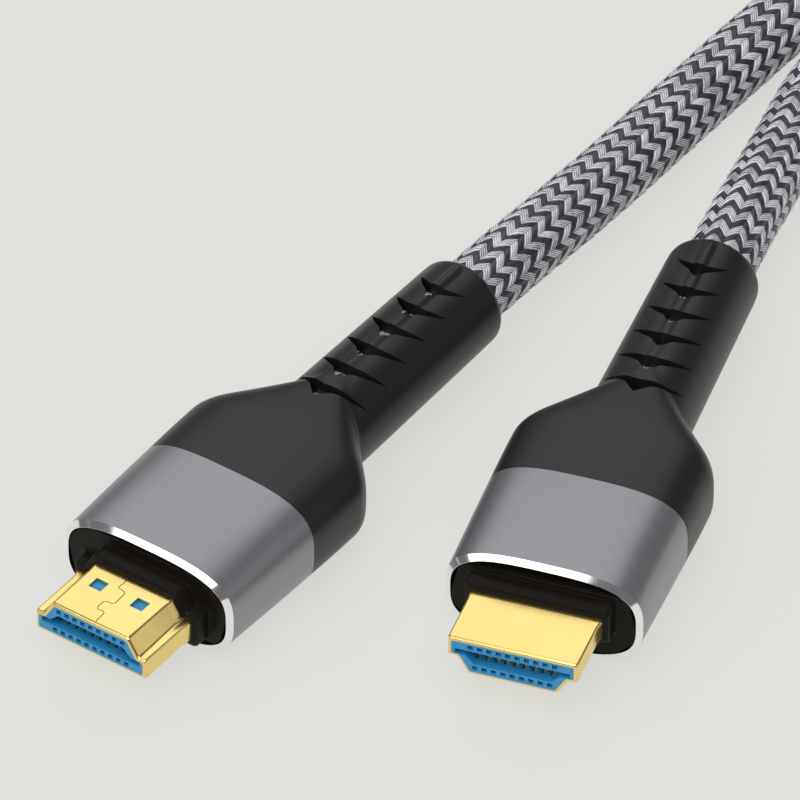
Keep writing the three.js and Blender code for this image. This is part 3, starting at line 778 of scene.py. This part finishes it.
# The cable's centre line
def catmull_rom(points, spacing):
    """Centripetal curve through the points, as many small steps."""
    points = [np.array(p, float) for p in points]
    points = [2 * points[0] - points[1]] + points + [2 * points[-1] - points[-2]]
    line = []
    for index in range(1, len(points) - 2):
        p0, p1, p2, p3 = points[index - 1:index + 3]
        t1 = np.linalg.norm(p1 - p0) ** 0.5
        t2 = t1 + np.linalg.norm(p2 - p1) ** 0.5
        t3 = t2 + np.linalg.norm(p3 - p2) ** 0.5
        steps = max(2, int(np.linalg.norm(p2 - p1) / spacing))
        for t in np.linspace(t1, t2, steps, endpoint=False):
            a1 = p0 * (t1 - t) / t1 + p1 * t / t1
            a2 = p1 * (t2 - t) / (t2 - t1) + p2 * (t - t1) / (t2 - t1)
            a3 = p2 * (t3 - t) / (t3 - t2) + p3 * (t - t2) / (t3 - t2)
            b1 = a1 * (t2 - t) / t2 + a2 * t / t2
            b2 = a2 * (t3 - t) / (t3 - t1) + a3 * (t - t1) / (t3 - t1)
            line.append(b1 * (t2 - t) / (t2 - t1) + b2 * (t - t1) / (t2 - t1))
    line.append(points[-2])
    return line


def coil_radius(turns):
    inwards = min(turns, 2 * COIL_TURNS_IN_LAYER - turns)
    return COIL_OUTER_RADIUS - CABLE_DIAMETER * inwards


def coil_point(turns):
    radius = coil_radius(turns)
    angle = math.radians(COIL_START_ANGLE - 360 * turns)
    climb = (turns - COIL_TURNS_IN_LAYER) / COIL_CLIMB_TURNS + 0.5
    climb = min(max(climb, 0.0), 1.0)
    height = COIL_LOW + (COIL_HIGH - COIL_LOW) * climb * climb * (3 - 2 * climb)
    return (radius * math.cos(angle), COIL_CENTRE_Y + radius * math.sin(angle), height)


def cable_line():
    steps = int(2 * COIL_TURNS_IN_LAYER * COIL_STEPS_PER_TURN)
    coil = [coil_point(2 * COIL_TURNS_IN_LAYER * step / steps) for step in range(steps + 1)]
    whole = LEAD_A_ROUTE[:-1] + coil + LEAD_B_ROUTE[::-1][1:]
    return np.array(catmull_rom(whole, 0.5))


class Tube:
    """The centre line by length, with a frame that doesn't twist."""

    def __init__(self, line):
        steps = np.linalg.norm(np.diff(line, axis=0), axis=1)
        self.length = np.concatenate([[0.0], np.cumsum(steps)])
        self.line = line
        tangent = np.gradient(line, axis=0)
        self.tangent = tangent / np.linalg.norm(tangent, axis=1)[:, None]
        normals = [np.array([0.0, 0.0, 1.0])]
        for along in self.tangent:
            carried = normals[-1] - along * np.dot(normals[-1], along)
            normals.append(carried / np.linalg.norm(carried))
        self.normal = np.array(normals[1:])
        self.side = np.cross(self.tangent, self.normal)

    def at(self, values, distance):
        columns = [np.interp(distance, self.length, values[:, axis]) for axis in range(3)]
        return np.stack(columns, axis=-1)

    def surface(self, distance, angle, radius):
        centre = self.at(self.line, distance)
        normal = self.at(self.normal, distance)
        side = self.at(self.side, distance)
        outwards = np.cos(angle)[..., None] * normal + np.sin(angle)[..., None] * side
        return centre + radius[..., None] * outwards


def make_jacket(tube):
    """The plain dark tube under the weave, and its ring centres in metres."""
    total = tube.length[-1]
    rings = int(total / JACKET_RING_SPACING)
    around = np.arange(JACKET_SIDES) / JACKET_SIDES * 2 * math.pi
    distance, angle = np.meshgrid(np.linspace(0, total, rings), around, indexing="ij")
    points = tube.surface(distance, angle, np.full_like(distance, JACKET_RADIUS))
    vertices, faces = loft([[tuple(p) for p in ring] for ring in points])
    jacket = make_object("cable_jacket", vertices, faces, [JACKET])
    centres = tube.at(tube.line, np.linspace(0, total, rings))
    return jacket, [tuple(p * MM) for p in centres]


def make_braid(name, tube, start, end, steps):
    """Woven floats from one length of the cable to another: light and dark rows by turns."""
    across_steps, along_steps = steps
    rng = np.random.default_rng(BRAID_SEED)
    first = round(start / BRAID_PERIOD)
    last = round(end / BRAID_PERIOD)
    rows = np.arange(first, last)
    columns = np.arange(BRAID_COLUMNS)
    a = np.linspace(-1, 1, along_steps + 1)
    b = np.linspace(-1, 1, across_steps + 1)
    half_column = math.pi / BRAID_COLUMNS
    parts = []
    for dark in (0, 1):
        row, column = np.meshgrid(rows, columns, indexing="ij")
        row, column = row.ravel(), column.ravel()
        count = len(row)
        slant = np.where(column % 2 == 0, 1.0, -1.0)
        middle = (row + 0.5 * dark) * BRAID_PERIOD + rng.normal(0, FLOAT_JITTER, count)
        half_width = DARK_HALF_WIDTH if dark else LIGHT_HALF_WIDTH
        half_width = half_width * rng.uniform(*FLOAT_WIDTH_SPREAD, count)
        lift = (BRAID_LIFT - DARK_LIFT_LOSS * dark) * rng.uniform(*FLOAT_LIFT_SPREAD, count)
        shape = (count, along_steps + 1, across_steps + 1)
        along = np.broadcast_to(a[None, :, None], shape)
        cross = np.broadcast_to(b[None, None, :], shape)
        angle = (column[:, None, None] + 0.5) * 2 * half_column + along * half_column * BRAID_TUCK
        distance = middle[:, None, None] + slant[:, None, None] * along * BRAID_TUCK * BRAID_RISE / 2
        distance = distance + cross * half_width[:, None, None]
        arch = 1 - np.abs(along) ** ARCH_POWER * ARCH_DEPTH
        round_edge = 1 - np.abs(cross) ** EDGE_POWER * EDGE_DEPTH
        ridge = RIDGE_HEIGHT * np.cos(math.pi * BRAID_FILAMENTS * cross + RIDGE_PHASE)
        radius = BRAID_FLOOR + lift[:, None, None] * arch * round_edge + ridge * (across_steps > 2)
        points = tube.surface(distance, angle, radius) * MM
        index = np.arange(count * shape[1] * shape[2]).reshape(shape)
        corners = [index[:, :-1, :-1], index[:, :-1, 1:], index[:, 1:, 1:], index[:, 1:, :-1]]
        quads = np.stack(corners, axis=-1).reshape(-1, 4)
        u = (cross + 1) / 2
        tone = np.broadcast_to(rng.uniform(0, 1, count)[:, None, None], shape)
        parts.append((points.reshape(-1, 3), quads, u.ravel(), along.ravel(), tone.ravel(), dark))
    return woven_object(name, parts)


def woven_object(name, parts):
    vertices = np.concatenate([part[0] for part in parts])
    shift = len(parts[0][0])
    quads = np.concatenate([parts[0][1], parts[1][1] + shift])
    dark = np.concatenate([np.full(len(part[1]), part[5]) for part in parts])
    u = np.concatenate([part[2] for part in parts])
    v = np.concatenate([part[3] for part in parts])
    tone = np.concatenate([part[4] for part in parts])
    mesh = bpy.data.meshes.new(name)
    mesh.vertices.add(len(vertices))
    mesh.vertices.foreach_set("co", vertices.ravel())
    mesh.loops.add(quads.size)
    mesh.loops.foreach_set("vertex_index", quads.ravel().astype(np.int32))
    mesh.polygons.add(len(quads))
    mesh.polygons.foreach_set("loop_start", np.arange(0, quads.size, 4, dtype=np.int32))
    mesh.polygons.foreach_set("material_index", dark.astype(np.int32))
    mesh.update(calc_edges=True)
    layer = mesh.uv_layers.new(name="UVMap")
    corners = quads.ravel()
    places = np.stack([u[corners], v[corners]], axis=-1)
    layer.data.foreach_set("uv", places.ravel().astype(np.float32))
    attribute = mesh.attributes.new("tone", "FLOAT", "POINT")
    attribute.data.foreach_set("value", tone.astype(np.float32))
    mesh.materials.append(LIGHT_YARN)
    mesh.materials.append(DARK_YARN)
    mesh.shade_smooth()
    piece = bpy.data.objects.new(name, mesh)
    bpy.context.scene.collection.objects.link(piece)
    return piece


def tie_side(low_radius, high_radius, height):
    """The line through a low turn and a high turn, at this height."""
    return low_radius + (high_radius - low_radius) * (height - COIL_LOW) / (COIL_HIGH - COIL_LOW)


def make_tie(name, angle):
    """Hook tape drawn close round the turns that pass here, low layer and high layer."""
    low = TIE_THICKNESS
    high = COIL_HIGH + CABLE_RADIUS + TIE_GAP
    first_turn = ((COIL_START_ANGLE - angle) % 360) / 360
    last_turn = int(COIL_TURNS_IN_LAYER - first_turn)
    low_outer = coil_radius(first_turn)
    low_inner = coil_radius(first_turn + last_turn)
    top_turn = first_turn + math.ceil(COIL_TURNS_IN_LAYER - first_turn)
    high_inner = coil_radius(top_turn)
    high_outer = coil_radius(top_turn + int(2 * COIL_TURNS_IN_LAYER - top_turn))
    rings = []
    corners = [
        (tie_side(low_inner, high_inner, low) - CABLE_RADIUS - TIE_GAP, low),
        (tie_side(low_outer, high_outer, low) + CABLE_RADIUS + TIE_GAP, low),
        (tie_side(low_outer, high_outer, high) + CABLE_RADIUS + TIE_GAP, high),
        (tie_side(low_inner, high_inner, high) - CABLE_RADIUS - TIE_GAP, high),
    ]
    half = TIE_WIDTH / 2
    for offset, y in ((0.0, -half), (TIE_THICKNESS, -half), (TIE_THICKNESS, half), (0.0, half)):
        outline = round_outline(offset_outline(corners, offset), TIE_CORNER + offset, TIE_CORNER_STEPS)
        rings.append([(point.x, y, point.y) for point in outline])
    vertices, faces = loft(rings, joined_ends=True)
    turn = Matrix.Translation((0, COIL_CENTRE_Y * MM, 0)) @ Matrix.Rotation(math.radians(angle), 4, "Z")
    return make_object(name, vertices, faces, [TAPE], turn)


# The stage, the lights and the camera
def make_stage():
    bpy.ops.mesh.primitive_plane_add(size=8.0, location=(0, 0, -0.0003))
    floor = bpy.context.object
    floor.name = "floor"
    nodes = Nodes("pale floor", (0.15, 0.15, 0.145), 0.9)
    glow = nodes.shader.inputs
    glow["Emission Color"].default_value = (0.761, 0.768, 0.730, 1.0)
    glow["Emission Strength"].default_value = 0.82
    glow["Specular IOR Level"].default_value = 0.0
    floor.data.materials.append(nodes.material)


def make_light(name, azimuth, elevation, width, height, power):
    light = bpy.data.lights.new(name, "AREA")
    light.shape = "RECTANGLE"
    light.size = width
    light.size_y = height
    light.energy = power
    lamp = bpy.data.objects.new(name, light)
    a, e = math.radians(azimuth), math.radians(elevation)
    away = Vector((math.sin(a) * math.cos(e), -math.cos(a) * math.cos(e), math.sin(e)))
    lamp.location = Vector(LAMP_TARGET) + away * LAMP_DISTANCE
    lamp.rotation_euler = away.to_track_quat("Z", "Y").to_euler()
    bpy.context.scene.collection.objects.link(lamp)


def make_lights():
    for name, turn, elevation, width, height, power in LAMPS:
        make_light(name, CAMERA_AZIMUTH + turn, elevation, width, height, power)
    world = bpy.data.worlds.new("studio")
    bpy.context.scene.world = world
    world.use_nodes = True
    world.node_tree.nodes["Background"].inputs["Color"].default_value = (0.9, 0.93, 0.95, 1.0)
    world.node_tree.nodes["Background"].inputs["Strength"].default_value = 0.16
    bpy.context.scene.view_settings.view_transform = "Standard"


def make_camera():
    camera = bpy.data.cameras.new("camera")
    camera.lens = CAMERA_LENS
    camera.sensor_width = 36.0
    camera.clip_end = 50.0
    holder = bpy.data.objects.new("camera", camera)
    a, e = math.radians(CAMERA_AZIMUTH), math.radians(CAMERA_ELEVATION)
    back = Vector((math.sin(a) * math.cos(e), -math.cos(a) * math.cos(e), math.sin(e)))
    holder.location = Vector(CAMERA_TARGET) * MM + back * CAMERA_DISTANCE * MM
    holder.rotation_euler = (-back).to_track_quat("-Z", "Y").to_euler()
    bpy.context.scene.collection.objects.link(holder)
    bpy.context.scene.camera = holder


make_camera()
make_stage()
make_lights()

# The cable: its jacket is the cord, and the woven sleeve and the ties go with it
cable = Tube(cable_line())
jacket, jacket_path = make_jacket(cable)
total_length = cable.length[-1]
lead_a_end = FINE_BRAID_LENGTHS[0]
lead_b_start = total_length - FINE_BRAID_LENGTHS[1]
middle = (lead_a_end + lead_b_start) / 2
woven = [
    make_braid("braid_lead_a", cable, 0.0, lead_a_end, FINE_STEPS),
    make_braid("braid_coil_low", cable, lead_a_end, middle, COARSE_STEPS),
    make_braid("braid_coil_high", cable, middle, lead_b_start, COARSE_STEPS),
    make_braid("braid_lead_b", cable, lead_b_start, total_length, FINE_STEPS),
]
ties = [make_tie(name + "_tape", angle) for name, angle in TIE_ANGLES.items()]
for piece in [jacket] + woven:
    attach(piece, "root")
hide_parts("lead_a", "coil", "lead_b")
for piece, name in zip(ties, TIE_ANGLES):
    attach(piece, "root")
    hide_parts(name)

# The plugs
for letter in ("a", "b"):
    matrix = plug_matrix(letter)
    makers = (
        ("shell", make_shell, "gold_plating"),
        ("moulding", make_moulding, "black_plastic"),
        ("sleeve", make_sleeve, "grey_aluminium"),
        ("boot", make_boot, "black_rubber"),
    )
    for part, maker, slot in makers:
        piece = maker(f"{part}_{letter}_fine", matrix)
        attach(piece, "root")
        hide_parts(f"{part}_{letter}")
for name, node in frame["nodes"].items():
    finish = CONTACT if name.startswith("contact") else BLUE if name.startswith("insert") else None
    if finish:
        node.data.materials.clear()
        node.data.materials.append(finish)
